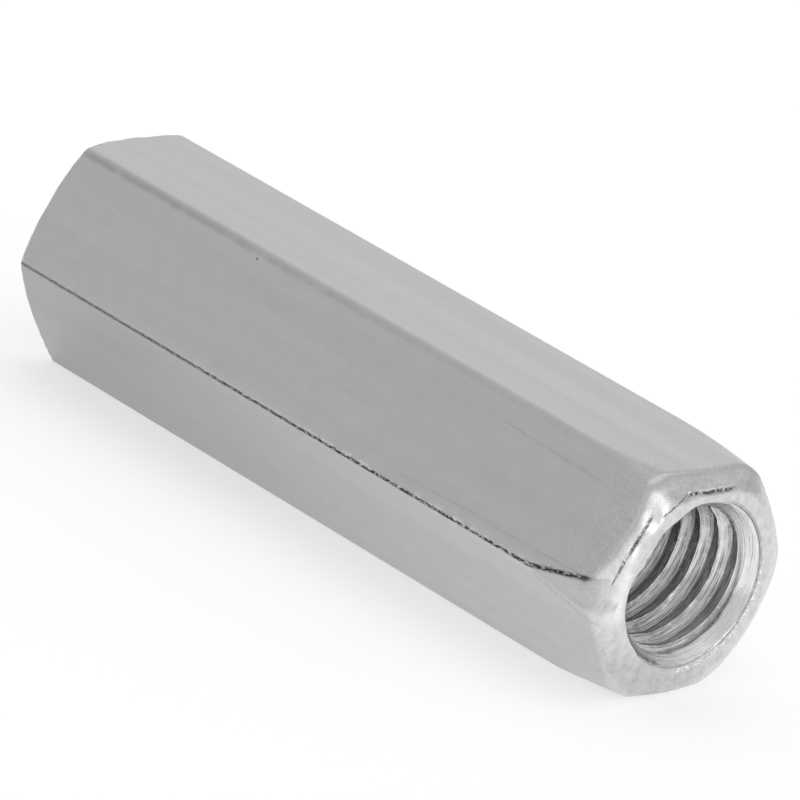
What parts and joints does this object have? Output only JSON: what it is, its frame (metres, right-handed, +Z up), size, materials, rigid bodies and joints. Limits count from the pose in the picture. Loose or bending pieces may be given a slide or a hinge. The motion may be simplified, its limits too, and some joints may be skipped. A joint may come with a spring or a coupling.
{
  "type": "coupling nut",
  "caption": "Long hexagon coupling nut, threaded right through, with countersunk mouths, one chamfered end and one end drawn in at its corners and edges, that joins threaded rods end to end.",
  "frame": {"origin": "middle of the underside, on the flat that the nut lies on", "axes": "+X along the bore towards the front end, +Z up, square to the flat that it lies on"},
  "size_m": [0.05, 0.015, 0.013],
  "materials": {
    "zinc_plated_steel": "bright zinc plate over drawn bar, with fine lengthwise drawing marks"
  },
  "bodies": {
    "root": {"coupling_nut": "zinc_plated_steel"}
  },
  "joints": []
}
